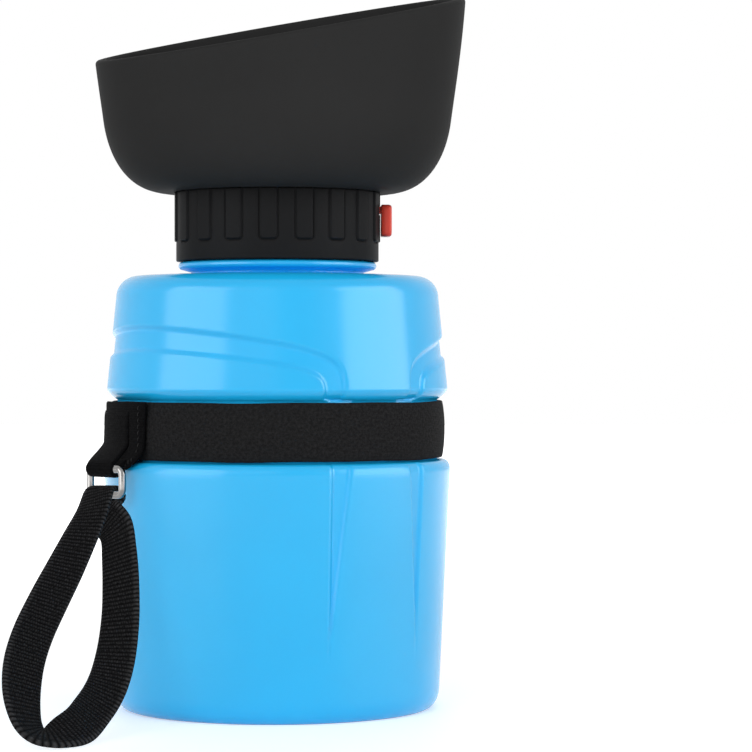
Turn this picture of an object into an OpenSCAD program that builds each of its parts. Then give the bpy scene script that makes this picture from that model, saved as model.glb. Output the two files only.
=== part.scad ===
// Travel water bottle for dogs: a squeeze bottle with a screw-on head. The head carries a
// soft drinking bowl, a tube down to the water and a turning shutter that locks the outlet.
// An elastic band holds a wire ring with a webbing wrist loop.
// Millimetres. +Z is up and the origin is the centre of the base on the table. The front is
// -Y, and the lock tab is on +X. Directions round the axis are degrees from the front,
// growing towards +X.

/* [Bottle] */
// Radius of the lower body at its top
body_r = 43.1; // [41.5:0.1:46]
// How much narrower the lower body is at its foot
body_taper = 2.7; // [0.5:0.1:4]
// Height of the lower body, up to the band groove
lower_h = 61.8; // [58:0.1:80]
// Height of the band groove
groove_h = 15.1; // [14.6:0.1:18]
// How far the floor of the band groove lies inside the lower body's top
groove_depth = 3.3; // [2.9:0.1:4.5]
// How much narrower than the lower body's top the upper body is at its lower edge
upper_step = 0.7; // [0.2:0.1:1.3]
// How much narrower the upper body is below its shoulder
upper_taper = 2.25; // [0.5:0.05:3]
// Height of the upper body, from the groove to the crown of the shoulder
upper_h = 30.4; // [29:0.1:45]
// Thickness of the moulded wall
wall = 1.8; // [1.4:0.1:2.2]
// Height of the push-up in the middle of the base
push_up = 3.5; // [1:0.1:6]

/* [Neck] */
// Outer radius of the neck, at the root of its thread
neck_r = 21.5; // [20.5:0.1:22]
// Thickness of the neck wall
neck_wall = 2; // [1.5:0.1:3]
// Height of the neck above the shoulder
neck_h = 11.7; // [11:0.1:12.5]
// How far the support bead stands out from the neck
bead_proud = 3.2; // [1.5:0.1:3.4]
// Height of the support bead
bead_h = 1.95; // [1:0.05:2.5]
// Height of the bead's underside above the shoulder
bead_lift = 1.6; // [0.5:0.1:2]

/* [Wave, flutes and thumb recess] */
// Depth of everything pressed into the wall
recess_depth = 0.8; // [0.3:0.1:1]
// Direction of the middle of the front grip, between two waves
grip_at = 36; // [0:1:80]
// Half the angle that a wave's outer edge spans
wave_half = 77; // [70:0.5:82]
// Height of a wave's outer edge above the groove
wave_crest = 17.1; // [14:0.1:19]
// Width of the channel at its crest
wave_gap = 5.1; // [3:0.1:6]
// Width of the channel where it comes down, in degrees
wave_side = 7.7; // [4:0.1:9]
// Half the angle between a grip's two flutes, measured to their far edges
flute_half = 18.4; // [14:0.1:22]
// Width of a flute at its top, in degrees
flute_span = 6.3; // [3:0.1:8]
// Length of a flute
flute_h = 41.2; // [20:0.1:48]
// Direction of the thumb recess on the back
thumb_at = 128; // [100:1:170]
// Width of the thumb recess
thumb_w = 13; // [8:0.5:16]
// Length of the thumb recess
thumb_h = 37; // [24:0.5:44]

/* [Band and strap] */
// Width of the elastic band
band_h = 14; // [10:0.1:14.2]
// Thickness of the elastic band
band_t = 1.9; // [1.2:0.1:2.2]
// Direction of the middle of the sewn tab on the band
tab_at = -66; // [-80:1:-62]
// Width of the sewn tab
tab_w = 21; // [18:0.5:24]
// Thickness of the tab where it lies on the band
pad_t = 1.5; // [1:0.1:1.8]
// Width of the fold that holds the ring
fold_w = 9; // [6:0.1:9.2]
// Thickness of the fold's fabric
fold_t = 0.9; // [0.6:0.1:1]
// Width of the ring, measured between its wires
ring_gap = 10.3; // [10:0.1:12]
// Diameter of the ring's wire
wire_d = 1.8; // [1.4:0.1:1.9]
// Width of the wrist loop's webbing
webbing_w = 9.5; // [6:0.1:9.6]
// Thickness of the webbing
webbing_t = 1.2; // [0.8:0.1:1.3]

/* [Cap] */
// Outer radius of the cap's skirt
cap_r = 25.25; // [25.1:0.05:27]
// Height of the cap
cap_h = 17.2; // [16.8:0.05:19]
// Radial room for the screw thread, between neck and skirt
thread_room = 1.85; // [1.5:0.05:1.9]
// Number of grip ribs
rib_count = 18; // [12:1:24]
// Width of a grip rib
rib_w = 4; // [2:0.1:4.4]
// How far a grip rib stands out
rib_proud = 0.4; // [0.2:0.05:0.5]
// Height of the plain band below the ribs
rib_lift = 4.9; // [3:0.1:5.5]
// Thickness of the deck that closes the bottle
deck_t = 2; // [1.5:0.1:2.2]

/* [Water way and lock] */
// Outer diameter of the dip tube
tube_d = 8; // [6:0.1:9]
// Thickness of the dip tube's wall
tube_wall = 1; // [0.6:0.1:1.4]
// Height of the dip tube's lower end above the bottle's floor
tube_lift = 4; // [2:0.5:20]
// Number of water ports
port_count = 3; // [2:1:4]
// Radius of a water port
port_r = 2.5; // [1.5:0.1:2.7]
// Radius of the circle that the ports stand on
port_circle_r = 9; // [8:0.1:9.2]
// Angle that the lock turns through
lock_travel = 40; // [34:1:44]
// Width of the lock tab
lock_w = 7; // [5:0.1:9]
// Height of the lock tab
lock_h = 8; // [6:0.1:9]
// How far the lock tab stands out from the ribs
lock_proud = 2.6; // [2:0.1:4]

/* [Bowl] */
// Thickness of the bowl's wall
bowl_t = 2.2; // [1.5:0.1:2.6]
// Height of the middle of the slanted rim above the cap
rim_h = 40.6; // [34:0.1:52]
// Slant of the rim
rim_slant = 12.4; // [0:0.1:18]
// Direction of the high side of the rim
rim_at = 128; // [90:1:180]
// Radius of the bowl at the middle height of its wall's top
mouth_r = 47.2; // [44:0.1:52]
// Radius where the rounded floor becomes the wall
belly_r = 43.3; // [40:0.1:46]
// Height of that place above the cap
belly_h = 17.6; // [14:0.1:22]

/* [Hidden] */
$fn = 96;

// clearances: between seated faces, between turning pieces, and past a face that is cut
seat_gap = 0.05;
running_gap = 0.2;
cut_over = 1;

// the bottle's heights, stacked from the table
groove_top = lower_h + groove_h;
shoulder_z = groove_top + upper_h;
neck_top = shoulder_z + neck_h;
bead_z = shoulder_z + bead_lift;
neck_bore = neck_r - neck_wall;

// the bottle's edge roundings, as [radial, upright]
foot_round = [3.2, 5.2];
lip_round = [1.7, 2.5];
upper_round = [2.3, 2.6];
shoulder_round = [5.2, 5.3];
foot_r = body_r - body_taper;
groove_r = body_r - groove_depth;
upper_r = body_r - upper_step;
shoulder_r = upper_r - upper_taper;

// the band in its groove
band_in_r = groove_r + seat_gap;
band_out_r = band_in_r + band_t;
band_z = lower_h + (groove_h - band_h) / 2;

// the head's heights, stacked from the bead and from the neck
cap_z = bead_z + bead_h + 0.15;
cap_top = cap_z + cap_h;
gasket_t = 1.2;
gasket_z = neck_top + seat_gap;
deck_z = gasket_z + gasket_t + seat_gap;
seal_z = deck_z + deck_t;
seal_t = 0.6;
disc_z = seal_z + seal_t + seat_gap;
disc_t = 1.8;
cover_z = disc_z + disc_t + seat_gap;
skirt_bore = neck_r + thread_room;
chamber_r = skirt_bore - 0.1;
disc_r = neck_r;
post_r = 3;
arm_w = 4;
lock_in_r = cap_r + rib_proud + running_gap;
outlet_r = port_circle_r + port_r + cut_over;

// the funnel under the deck
plenum_r = outlet_r - 0.1;
funnel_wall = 1.4;
plenum_h = 2.4;
funnel_h = 8;
socket_h = 6;

// the ring hangs a little to one side of the tab; ring_face is the direction it faces
ring_rho = body_r + 4.85;
ring_dir = -59.3;
ring_at = [ring_rho * sin(ring_dir), -ring_rho * cos(ring_dir)];
ring_face = -47.6;
ring_top_z = lower_h - 1.5;
ring_low_z = ring_top_z - 6.2;
wrap_gap = 0.15;

// the tab's fold: how far above the ring's upper bar it leaves the pad, where it leans out and
// where it ends behind, and how far it leans out
fold_rise = 8.4;
fold_knee = 3.3;
fold_end = 2.8;
fold_lean = 2.3;

// the wrist loop's middle line, down in front, round above the table and up behind: out
// from the ring's middle along X and Y, and up from the table when the ring's lower bar is
// at route_h; then the direction of the webbing's width, in degrees from +X and up
route_h = 54.1;
loop_route = [
    [-3, -6.9, 50.4, 136, 6], [-5.2, -11.5, 45.2, 142, 14], [-8.7, -18, 37.5, 154, 20],
    [-11.9, -25, 30.7, 166, 22], [-14.7, -32, 24.2, 181, 18], [-16.2, -38.5, 18.6, 197, 12],
    [-16.5, -44, 13.4, 212, 6], [-15.9, -48.2, 8.8, 227, 1], [-14.5, -50.8, 5, 242, -4],
    [-12.2, -51.9, 2.8, 258, -9], [-9, -51.5, 2.5, 275, -22], [-5.8, -49.4, 3.3, 293, -38],
    [-3, -45.6, 4.6, 312, -48], [-0.9, -40.4, 6.9, 326, -46], [1.2, -35.6, 9.9, 333, -37],
    [2.8, -31, 13.8, 335, -26], [3.9, -26, 19.2, 335, -17], [4.5, -21.5, 26.2, 333, -10],
    [4.4, -17.5, 33.6, 330, -6], [3.8, -13.2, 40.6, 325, -3], [2.8, -9.2, 46.2, 319, -1]];

// a point at a direction, a radius and a height
function polar(at, r, z) = [r * sin(at), -r * cos(at), z];

// an elliptical arc about a centre, as a list of points
function arc(c, r, from, to, n = 8) =
    [for (i = [0:n]) let (t = from + (to - from) * i / n)
        [c[0] + r[0] * cos(t), c[1] + r[1] * sin(t)]];

// a cubic Bezier curve, as a list of points
function bezier(a, b, c, d, n = 12) =
    [for (i = [0:n]) let (t = i / n, u = 1 - t)
        a * u * u * u + b * 3 * u * u * t + c * 3 * u * t * t + d * t * t * t];

// a smooth curve through points, with n steps to each span
function through(p, n) = let (m = len(p))
    concat([for (i = [0:m - 2], k = [0:n - 1]) let (
            a = p[max(i - 1, 0)], b = p[i], c = p[i + 1], d = p[min(i + 2, m - 1)],
            t = k / n)
        0.5 * (2 * b + (c - a) * t + (2 * a - 5 * b + 4 * c - d) * t * t
            + (3 * b - a - 3 * c + d) * t * t * t)],
        [p[m - 1]]);

// joins rings of equal size into one solid with flat ends
module loft(points, rings, size) {
    sides = [for (i = [0:rings - 2], k = [0:size - 1]) let (
            a = i * size + k, b = i * size + (k + 1) % size)
        each [[a, b + size, b], [a, a + size, b + size]]];
    first = [for (k = [1:size - 2]) [0, k, k + 1]];
    top = (rings - 1) * size;
    last = [for (k = [1:size - 2]) [top, top + k + 1, top + k]];
    polyhedron(points, concat(sides, first, last));
}

// ---- bottle ----

// how far in and out the cutters of the wall reach
cutter_in_r = groove_r - 4;
cutter_out_r = body_r + 2;

// half of the bottle's section, moved inwards by inset and cut off at mouth_z; throat is
// the radius of the neck
function bottle_section(inset, throat, mouth_z) = let (d = [inset, inset]) concat(
    [[0, push_up + inset], [foot_r - 11, push_up - 0.5 + inset],
        [foot_r - foot_round[0] - 2.2, inset]],
    arc([foot_r - foot_round[0], foot_round[1]], foot_round - d, -90, 0, 6),
    arc([body_r - lip_round[0], lower_h - lip_round[1]],
        lip_round - d * (inset > 1 ? 0.9 : 1), 0, 90, 5),
    [[groove_r - inset, lower_h - inset], [groove_r - inset, groove_top + inset]],
    arc([upper_r - upper_round[0], groove_top + upper_round[1]],
        upper_round - d * (inset > 1 ? 0.7 : 1), -90, 0, 5),
    arc([shoulder_r - shoulder_round[0], shoulder_z - shoulder_round[1]],
        shoulder_round - d, 0, 90, 8),
    [[throat, shoulder_z - inset], [throat, mouth_z], [0, mouth_z]]);

// a channel round the axis between two arched edges, with its middle at a direction
module wave_channel(at) {
    outer = [wave_half, wave_crest - 1.6];
    inner = [wave_half - wave_side, wave_crest - 1.6 - wave_gap];
    arches = [for (i = [0:12]) let (t = 180 * i / 12) [
        [outer[0] * sign(cos(t)) * pow(abs(cos(t)), 0.9), outer[1] * pow(sin(t), 0.9)],
        [inner[0] * sign(cos(t)) * pow(abs(cos(t)), 0.77), inner[1] * pow(sin(t), 0.77)]]];
    foot = [0, -2.6];
    rows = concat([arches[0] + [foot, foot]], arches, [arches[12] + [foot, foot]]);
    loft([for (row = rows) let (o = row[0], i = row[1], z = groove_top + 1.6) each [
        polar(at - o[0], cutter_in_r, z + o[1]), polar(at - o[0], cutter_out_r, z + o[1]),
        polar(at - i[0], cutter_out_r, z + i[1]), polar(at - i[0], cutter_in_r, z + i[1])]],
        len(rows), 4);
}

// a flute that is widest at the groove and runs out to a point; side is 1 or -1
module flute(at, side) {
    point_w = 0.6;
    rows = [[lower_h - flute_h, flute_half - point_w, flute_half],
        [lower_h + cut_over, flute_half - flute_span, flute_half]];
    points = [for (w = rows) each [
        polar(at + side * w[1], cutter_in_r, w[0]), polar(at + side * w[1], cutter_out_r, w[0]),
        polar(at + side * w[2], cutter_out_r, w[0]), polar(at + side * w[2], cutter_in_r, w[0])]];
    flipped = [for (i = [0:1], k = [3:-1:0]) points[i * 4 + k]];
    loft(side > 0 ? points : flipped, 2, 4);
}

// the thumb recess's outline: a slot with round ends
module thumb_slot() {
    straight = thumb_h - thumb_w;
    circle(d = thumb_w);
    translate([0, straight]) circle(d = thumb_w);
    translate([-thumb_w / 2, 0]) square([thumb_w, straight]);
}

// what is pressed into the wall from outside: the recesses' outlines, as deep as the wall
// allows, less the section moved inwards by their depth
module wall_recesses() {
    difference() {
        union() {
            for (turn = [0, 180]) {
                wave_channel(grip_at - 90 + turn);
                for (side = [-1, 1]) flute(grip_at + turn, side);
            }
            rotate([0, 0, thumb_at - 90])
                translate([cutter_in_r, 0, lower_h - 5 - thumb_h + thumb_w / 2])
                    rotate([90, 0, 90]) linear_extrude(cutter_out_r - cutter_in_r) thumb_slot();
        }
        rotate_extrude() polygon(bottle_section(recess_depth, neck_r, neck_top));
        translate([0, 0, lower_h - cut_over]) cylinder(r = groove_r, h = groove_h + 2 * cut_over);
    }
}

module bottle_body() {
    bead_r = bead_h / 2;
    color([0.24, 0.74, 0.98]) difference() {
        union() {
            difference() {
                rotate_extrude() polygon(bottle_section(0, neck_r, neck_top));
                wall_recesses();
            }
            translate([0, 0, bead_z]) rotate_extrude() polygon(concat(
                [[neck_bore + 0.5, 0]],
                arc([neck_r + bead_proud - bead_r, bead_r], [bead_r, bead_r], -90, 90, 8),
                [[neck_bore + 0.5, bead_h]]));
        }
        rotate_extrude() polygon(bottle_section(wall, neck_bore, neck_top + cut_over));
    }
}

// ---- band and strap ----

module strap_band() {
    crown = 0.45;
    color([0.14, 0.14, 0.14]) rotate_extrude() polygon(concat(
        [[band_in_r, band_z]],
        arc([band_out_r - crown, band_z + band_h / 2], [crown, band_h / 2], -90, 90, 8),
        [[band_in_r, band_z + band_h]]));
}

// moves what is made in the ring's own plane (X out of the plane, Y along its bars) to it
module at_ring() {
    translate([ring_at[0], ring_at[1], 0]) rotate([0, 0, ring_face - 90]) children();
}

// the tab: a pad sewn over the band, with a fold of fabric round the ring's upper bar
module strap_tab() {
    half = tab_w / 2 / band_out_r * 180 / PI;
    wrap_r = wire_d / 2 + wrap_gap + fold_t / 2;
    start = band_out_r + pad_t - 0.2 - ring_rho;
    fold = concat(
        through([[start, ring_top_z + fold_rise],
            [start + 0.22 * fold_lean, ring_top_z + (fold_rise + fold_knee) / 2],
            [start + fold_lean, ring_top_z + fold_knee]], 3),
        [for (t = [75:-30:-195]) [0, ring_top_z] + wrap_r * [cos(t), sin(t)]],
        [[start * 0.7, ring_top_z + fold_end * 0.7], [start, ring_top_z + fold_end]]);
    n = len(fold);
    function across(i) = let (d = fold[min(i + 1, n - 1)] - fold[max(i - 1, 0)])
        [-d[1], d[0]] / norm(d) * fold_t / 2;
    color([0.12, 0.12, 0.12]) {
        rotate([0, 0, tab_at - half - 90]) rotate_extrude(angle = 2 * half)
            translate([band_out_r + seat_gap, band_z + 0.4]) square([pad_t, band_h - 0.8]);
        at_ring() loft([for (i = [0:n - 1]) let (a = fold[i] + across(i), b = fold[i] - across(i))
            each [[b[0], -fold_w / 2, b[1]], [b[0], fold_w / 2, b[1]],
                [a[0], fold_w / 2, a[1]], [a[0], -fold_w / 2, a[1]]]], n, 4);
    }
}

// the ring: a rectangle of round wire with rounded corners
module strap_ring() {
    corner = 1.5;
    half = (ring_gap + wire_d) / 2;
    height = ring_top_z - ring_low_z;
    color([0.82, 0.82, 0.84]) at_ring() translate([0, 0, ring_low_z + height / 2])
        for (z = [-1, 1], y = [-1, 1]) {
            translate([0, 0, z * height / 2]) rotate([-90 * y, 0, 0])
                cylinder(d = wire_d, h = half - corner);
            translate([0, y * half, 0]) rotate([90 - 90 * z, 0, 0])
                cylinder(d = wire_d, h = height / 2 - corner);
            translate([0, y * (half - corner), z * (height / 2 - corner)])
                rotate([0, 90, 0]) rotate([0, 0, 90 * (y > 0 ? (z > 0 ? 1 : 0) : (z > 0 ? 2 : 3))])
                    rotate_extrude(angle = 90) translate([corner, 0]) circle(d = wire_d);
        }
}

// the wrist loop: webbing folded over the ring's lower bar, with half a turn in its length
module wrist_strap() {
    wrap_r = wire_d / 2 + wrap_gap + webbing_t / 2;
    bar_turn = 90 + ring_face + 90;
    function by_bar(out, along, z, turn) = [
        ring_at[0] + out * sin(ring_face) + along * cos(bar_turn),
        ring_at[1] - out * cos(ring_face) + along * sin(bar_turn), z, turn, 0];
    path = through(concat(
        [by_bar(0.1, 0, ring_low_z + wrap_r, bar_turn),
            by_bar(2.6, -0.5, ring_low_z + 0.9, bar_turn)],
        [for (p = loop_route)
            [ring_at[0] + p[0], ring_at[1] + p[1], p[2] * ring_low_z / route_h, p[3], p[4]]],
        [by_bar(2.4, -1.6, ring_low_z - 3.8, bar_turn + 180),
            by_bar(-0.8, -0.4, ring_low_z - wrap_r, bar_turn + 180),
            by_bar(-wrap_r, 0, ring_low_z, bar_turn + 180),
            by_bar(-wrap_r * 0.7, 0, ring_low_z + wrap_r * 0.7, bar_turn + 180)]), 2);
    n = len(path);
    function spot(i) = let (p = path[i]) [p[0], p[1], p[2]];
    function along(i) = let (d = spot(min(i + 1, n - 1)) - spot(max(i - 1, 0))) d / norm(d);
    function width(i) = let (
            w = [cos(path[i][3]) * cos(path[i][4]), sin(path[i][3]) * cos(path[i][4]), sin(path[i][4])],
            v = w - along(i) * (w * along(i)))
        v / norm(v);
    points = [for (i = [0:n - 1]) let (
            w = width(i) * webbing_w / 2,
            t = cross(along(i), width(i)) * webbing_t / 2)
        each [spot(i) + w + t, spot(i) - w + t, spot(i) - w - t, spot(i) + w - t]];
    faces = [for (i = [0:n - 1], k = [0:3]) let (
            j = (i + 1) % n,
            shift = i == n - 1 ? 2 : 0,
            a = i * 4 + k, b = i * 4 + (k + 1) % 4,
            c = j * 4 + (k + 1 + shift) % 4, d = j * 4 + (k + shift) % 4)
        each [[a, c, b], [a, d, c]]];
    color([0.1, 0.1, 0.1]) polyhedron(points, faces);
}

// ---- head ----

// a flat ring
module washer(outer, inner, h) {
    difference() {
        cylinder(r = outer, h = h);
        translate([0, 0, -cut_over]) cylinder(r = inner, h = h + 2 * cut_over);
    }
}

// the water ports, as drills; first is the direction of the first one from +X
module ports(first, h) {
    for (i = [0:port_count - 1]) rotate([0, 0, first + i * 360 / port_count])
        translate([port_circle_r, 0, 0]) cylinder(r = port_r, h = h, $fn = 48);
}

module neck_gasket() {
    color([0.86, 0.87, 0.87]) translate([0, 0, gasket_z])
        washer(skirt_bore - running_gap, neck_bore - 1, gasket_t);
}

// one grip rib, with round corners at its foot
module grip_rib() {
    h = cap_top - cap_z - rib_lift;
    r = 0.7;
    translate([cap_r - 1, 0, cap_z + rib_lift]) rotate([90, 0, 90])
        linear_extrude(1 + rib_proud) {
            translate([-rib_w / 2, r]) square([rib_w, h - r]);
            translate([r - rib_w / 2, 0]) square([rib_w - 2 * r, h]);
            for (s = [-1, 1]) translate([s * (rib_w / 2 - r), r]) circle(r = r, $fn = 24);
        }
}

module screw_cap() {
    lead_in = 0.6;
    arm_half = asin((arm_w / 2 + running_gap) / chamber_r);
    color([0.11, 0.11, 0.11]) difference() {
        union() {
            rotate_extrude() polygon(concat(
                [[skirt_bore, cap_z]],
                arc([cap_r - lead_in, cap_z + lead_in], [lead_in, lead_in], -90, 0, 5),
                [[cap_r, cap_top], [chamber_r, cap_top], [chamber_r, seal_z],
                    [0, seal_z], [0, deck_z], [skirt_bore, deck_z]]));
            translate([0, 0, deck_z + deck_t / 2])
                cylinder(r = post_r, h = cover_z - deck_z - deck_t / 2);
            for (i = [0:rib_count - 1])
                rotate([0, 0, -95 + i * 360 / rib_count]) grip_rib();
        }
        translate([0, 0, deck_z - cut_over]) ports(0, deck_t + 2 * cut_over);
        rotate([0, 0, -arm_half]) translate([0, 0, disc_z - running_gap])
            rotate_extrude(angle = lock_travel + 2 * arm_half)
                translate([chamber_r - cut_over, 0])
                    square([cap_r - chamber_r + 2 * cut_over, disc_t + 2 * running_gap]);
    }
}

// a funnel below the deck that feeds the ports from the dip tube
module tube_funnel() {
    socket_r = tube_d / 2 + seat_gap;
    z1 = deck_z - plenum_h;
    z2 = deck_z - funnel_h;
    color([0.13, 0.13, 0.13]) rotate_extrude() polygon([
        [plenum_r, deck_z], [plenum_r + funnel_wall, deck_z], [plenum_r + funnel_wall, z1],
        [socket_r + funnel_wall, z2], [socket_r + funnel_wall, z2 - socket_h],
        [socket_r, z2 - socket_h], [socket_r, z2], [tube_d / 2 - tube_wall, z2],
        [plenum_r, z1]]);
}

module dip_tube() {
    foot = push_up + wall + tube_lift;
    top = deck_z - funnel_h - seat_gap;
    color([0.85, 0.9, 0.93]) translate([0, 0, foot]) difference() {
        washer(tube_d / 2, tube_d / 2 - tube_wall, top - foot);
        rotate([45, 0, 0]) translate([-tube_d, 0, -2 * tube_d]) cube(2 * tube_d);
    }
}

// a rubber mat under the shutter, open at the ports
module shutter_seal() {
    color([0.86, 0.87, 0.87]) translate([0, 0, seal_z]) difference() {
        washer(outlet_r + 4, post_r + cut_over, seal_t);
        translate([0, 0, -cut_over]) ports(0, seal_t + 2 * cut_over);
    }
}

// the shutter: its ports stand beside those of the deck until the lock is turned open
module shutter_disc() {
    color([0.85, 0.22, 0.18]) translate([0, 0, disc_z]) difference() {
        union() {
            cylinder(r = disc_r, h = disc_t);
            translate([0, -arm_w / 2, 0]) cube([lock_in_r + lock_proud - 0.8, arm_w, disc_t]);
        }
        translate([0, 0, -cut_over]) {
            cylinder(r = post_r + seat_gap, h = disc_t + 2 * cut_over);
            ports(-lock_travel, disc_t + 2 * cut_over);
        }
    }
}

module lock_tab() {
    r = 0.9;
    z0 = disc_z + disc_t / 2 - lock_h + 1.35;
    color([0.86, 0.25, 0.2]) difference() {
        translate([lock_in_r, lock_w / 2, z0]) rotate([90, 0, 0]) linear_extrude(lock_w) {
            square([lock_proud - r, lock_h]);
            translate([0, r]) square([lock_proud, lock_h - 2 * r]);
            for (z = [r, lock_h - r]) translate([lock_proud - r, z]) circle(r = r, $fn = 32);
        }
        translate([lock_in_r - cut_over, -arm_w / 2 - seat_gap, disc_z - seat_gap])
            cube([lock_proud - 0.8 + seat_gap + cut_over, arm_w + 2 * seat_gap,
                disc_t + 2 * seat_gap]);
    }
}

// the cover that shuts the lock's chamber, with the o-ring's groove on its underside
ring_r = 0.7;
ring_circle_r = outlet_r + 3;

module valve_cover() {
    color([0.11, 0.11, 0.11]) translate([0, 0, cover_z]) difference() {
        washer(chamber_r - seat_gap, outlet_r, cap_top - cover_z);
        translate([0, 0, -cut_over])
            washer(ring_circle_r + ring_r + seat_gap, ring_circle_r - ring_r - seat_gap,
                2 * ring_r + cut_over);
    }
}

module outlet_o_ring() {
    color([0.86, 0.87, 0.87]) translate([0, 0, cover_z + ring_r])
        rotate_extrude() translate([ring_circle_r, 0]) circle(r = ring_r, $fn = 32);
}

// the bowl: a round shell with a slanted rim, open at its foot over the outlet
clamp_r = outlet_r + 1.6;
bowl_z = cap_top + seat_gap;

module silicone_bowl() {
    foot = 28;
    top = [mouth_r, bowl_z + rim_h + 12];
    belly = [belly_r, bowl_z + belly_h];
    in = [bowl_t, 0];
    floor_curve = bezier([foot, bowl_z], [foot + 9.4, bowl_z], belly - [1.2, 9], belly, 8);
    wall_curve = bezier(belly, belly + [0.7, 5.6], top - [0.6, 14], top, 6);
    inner_floor = bezier([foot, bowl_z + bowl_t], [foot + 8.2, bowl_z + bowl_t],
        belly - in - [1.2, 7.6], belly - in, 8);
    color([0.17, 0.17, 0.17]) difference() {
        rotate_extrude() polygon(concat([[clamp_r, bowl_z]], floor_curve,
            [for (i = [1:6]) wall_curve[i]], [for (i = [6:-1:1]) wall_curve[i] - in],
            [for (i = [8:-1:0]) inner_floor[i]], [[clamp_r, bowl_z + bowl_t]]));
        rotate([0, 0, rim_at - 90]) translate([0, 0, bowl_z + rim_h])
            rotate([0, -rim_slant, 0]) translate([-2 * mouth_r, -2 * mouth_r, 0])
                cube([4 * mouth_r, 4 * mouth_r, 2 * rim_h]);
    }
}

// the clamp that holds the bowl's floor on the cover and snaps into the cover's hole
clamp_t = 1.2;
clamp_z = bowl_z + bowl_t + seat_gap;
clamp_bore = outlet_r - 1.6;

module bowl_clamp_ring() {
    flange = clamp_r + 3.4;
    hook_z = cover_z + 1.2;
    color([0.11, 0.11, 0.11]) rotate_extrude() polygon([
        [clamp_bore, hook_z], [outlet_r - seat_gap, hook_z],
        [outlet_r - seat_gap, bowl_z], [clamp_r - seat_gap, bowl_z],
        [clamp_r - seat_gap, clamp_z], [flange, clamp_z], [flange, clamp_z + 0.4],
        [flange - 1, clamp_z + clamp_t], [clamp_bore + 1, clamp_z + clamp_t],
        [clamp_bore + 1, clamp_z - 0.8], [clamp_bore, clamp_z - 0.8]]);
}

// the slotted disc in the clamp that the water comes up through
module outlet_grille() {
    slot_w = 1.8;
    slots = 12;
    color([0.15, 0.15, 0.15]) translate([0, 0, clamp_z - 0.8]) difference() {
        cylinder(r = clamp_bore + 1 - seat_gap, h = clamp_t + 0.8);
        for (i = [0:slots - 1]) rotate([0, 0, i * 360 / slots])
            translate([4, -slot_w / 2, -cut_over])
                cube([clamp_bore - 6, slot_w, clamp_t + 0.8 + 2 * cut_over]);
        translate([0, 0, clamp_t]) cylinder(r = 2, h = cut_over);
    }
}

bottle_body();
strap_band();
strap_tab();
strap_ring();
wrist_strap();
neck_gasket();
dip_tube();
tube_funnel();
screw_cap();
shutter_seal();
shutter_disc();
lock_tab();
valve_cover();
outlet_o_ring();
silicone_bowl();
bowl_clamp_ring();
outlet_grille();
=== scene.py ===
"""A travel water bottle for dogs: a blue squeeze bottle with a black drinking bowl on its cap.

Shapes are worked out in millimetres as numpy grids and put into meshes in metres. Directions
round the axis are degrees from the front (-Y), growing towards +X, where the lock tab is.
"""
import math

import bpy
import numpy as np
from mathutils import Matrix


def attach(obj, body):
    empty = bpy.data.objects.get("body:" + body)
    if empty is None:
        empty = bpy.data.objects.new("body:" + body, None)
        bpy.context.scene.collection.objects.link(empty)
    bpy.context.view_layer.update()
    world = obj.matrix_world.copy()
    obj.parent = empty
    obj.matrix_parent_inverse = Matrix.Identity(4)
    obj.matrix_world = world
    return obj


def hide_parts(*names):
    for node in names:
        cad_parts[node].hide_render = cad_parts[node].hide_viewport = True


MM = 0.001

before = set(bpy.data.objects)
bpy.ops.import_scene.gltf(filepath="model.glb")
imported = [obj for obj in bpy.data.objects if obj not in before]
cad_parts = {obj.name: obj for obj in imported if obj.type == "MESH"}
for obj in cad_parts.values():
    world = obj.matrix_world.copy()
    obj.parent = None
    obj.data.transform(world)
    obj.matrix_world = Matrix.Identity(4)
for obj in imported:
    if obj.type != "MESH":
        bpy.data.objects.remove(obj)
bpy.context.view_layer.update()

# ---------------------------------------------------------------------------
# sizes, in millimetres, as the solids have them
# ---------------------------------------------------------------------------

# the bottle's outside, its neck and the bead round it; a rounding is (across, up)
BODY_R, FOOT_R = 43.1, 40.4
LOWER_TOP, GROOVE_TOP, SHOULDER_Z, NECK_TOP = 61.8, 76.9, 107.3, 119.0
GROOVE_R, UPPER_R, SHOULDER_R = 39.8, 42.4, 40.15
NECK_R, NECK_BORE, WALL = 21.5, 19.5, 1.8
BEAD_Z, BEAD_H, BEAD_R = 108.9, 1.95, 24.7
FOOT_ROUND, LIP_ROUND = (3.2, 5.2), (1.7, 2.5)
UPPER_ROUND, SHOULDER_ROUND = (2.3, 2.6), (5.2, 5.3)
BASE_EDGE = (29.4, 2.7)
THREAD_LEAD, THREAD_STARTS = 8.0, 2

# what is pressed into its wall: the wave channels' arches as (half angle, rise, fall), the
# flutes' edges in degrees from the middle of the grip, and the thumb slot
GRIP_AT = 36.0
WAVE_OUT, WAVE_IN, WAVE_FOOT = (76.35, 15.9, 6.6), (69.7, 10.4, 4.7), GROOVE_TOP + 1.6
FLUTE_FAR, FLUTE_NEAR, FLUTE_FOOT = 18.4, 12.1, 20.6
THUMB_AT, THUMB_W, THUMB_Z, THUMB_SHARE = 128.0, 13.0, (19.8, 56.8), 0.9
RECESS_DEPTH = 0.85

# band, tab, ring and webbing
BAND_IN, BAND_OUT, BAND_LOW, BAND_HIGH = 39.85, 41.75, 62.35, 76.35
PAD_LEFT, PAD_RIGHT, PAD_FOOT, PAD_T = -80.6, -47.6, 59.9, 1.1
FOLD_BACK, FOLD_FRONT, FOLD_T = 5.7, 4.2, 1.0
RING_AT = np.array([-41.23, -24.48])
RING_FACE = -47.6
RING_TOP, RING_LOW, RING_HALF, WIRE_R = 60.3, 54.1, 6.05, 0.9
WEB_W, WEB_T = 9.5, 1.2

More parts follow.
